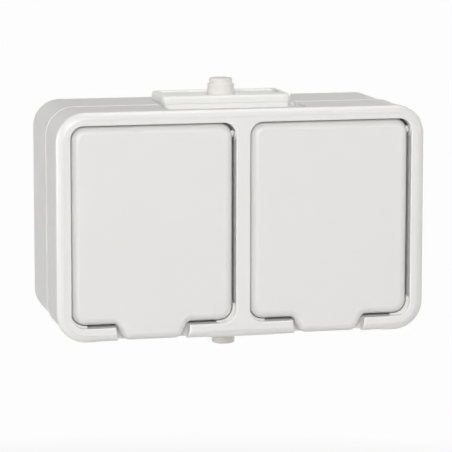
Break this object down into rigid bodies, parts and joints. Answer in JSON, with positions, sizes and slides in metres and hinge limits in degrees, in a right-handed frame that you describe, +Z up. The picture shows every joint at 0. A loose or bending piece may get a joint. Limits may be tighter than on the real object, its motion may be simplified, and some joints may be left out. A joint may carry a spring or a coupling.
{
  "type": "weatherproof double socket",
  "caption": "Surface-mounted splash-proof double wall socket: deep rounded box, thick frame, two top-hinged lids over round earthed plug wells, cable entry nipples.",
  "frame": {"origin": "centre of the back face that lies on the wall", "axes": "+Y into the wall, +X to the right seen from the room, +Z up; the lids face -Y"},
  "size_m": [0.142, 0.06, 0.1033],
  "materials": {
    "box_plastic": "satin moulded",
    "cover_plastic": "satin moulded",
    "lid_plastic": "satin moulded",
    "insert_plastic": "glossy moulded",
    "gland_plastic": "satin moulded",
    "carrier_plastic": "matt thermoset",
    "seal_rubber": "soft rubber",
    "top_nipple_rubber": "soft pale rubber",
    "bottom_nipple_rubber": "soft beige grey rubber",
    "steel": "zinc plated",
    "spring_steel": "plated spring strip",
    "brass": "bare brass"
  },
  "bodies": {
    "root": {"back_box": "box_plastic", "box_seal": "seal_rubber", "front_cover": "cover_plastic", "contact_carrier": "carrier_plastic", "carrier_screws": "steel", "live_bar": "brass", "neutral_bar": "brass", "earth_bar": "brass", "live_terminal": "brass", "neutral_terminal": "brass", "earth_terminal": "brass", "terminal_screws": "steel", "gland_body": "gland_plastic", "gland_cap": "gland_plastic", "top_nipple": "top_nipple_rubber", "bottom_nipple": "bottom_nipple_rubber", "socket_insert_left": "insert_plastic", "socket_insert_right": "insert_plastic", "centre_screw_left": "steel", "centre_screw_right": "steel", "earth_clip_left": "spring_steel", "earth_clip_right": "spring_steel", "live_contact_left": "brass", "live_contact_right": "brass", "neutral_contact_left": "brass", "neutral_contact_right": "brass"},
    "lid_left": {"lid_left": "lid_plastic", "lid_seal_left": "seal_rubber", "hinge_pin_left": "steel"},
    "lid_right": {"lid_right": "lid_plastic", "lid_seal_right": "seal_rubber", "hinge_pin_right": "steel"}
  },
  "joints": [
    {"name": "lid_left_hinge", "type": "hinge", "parent": "root", "child": "lid_left", "pos_m": [-0.03415, -0.05613, 0.03385], "axis": [-1, 0, 0], "range_deg": [0, 92]},
    {"name": "lid_right_hinge", "type": "hinge", "parent": "root", "child": "lid_right", "pos_m": [0.03415, -0.05613, 0.03385], "axis": [-1, 0, 0], "range_deg": [0, 92]}
  ]
}
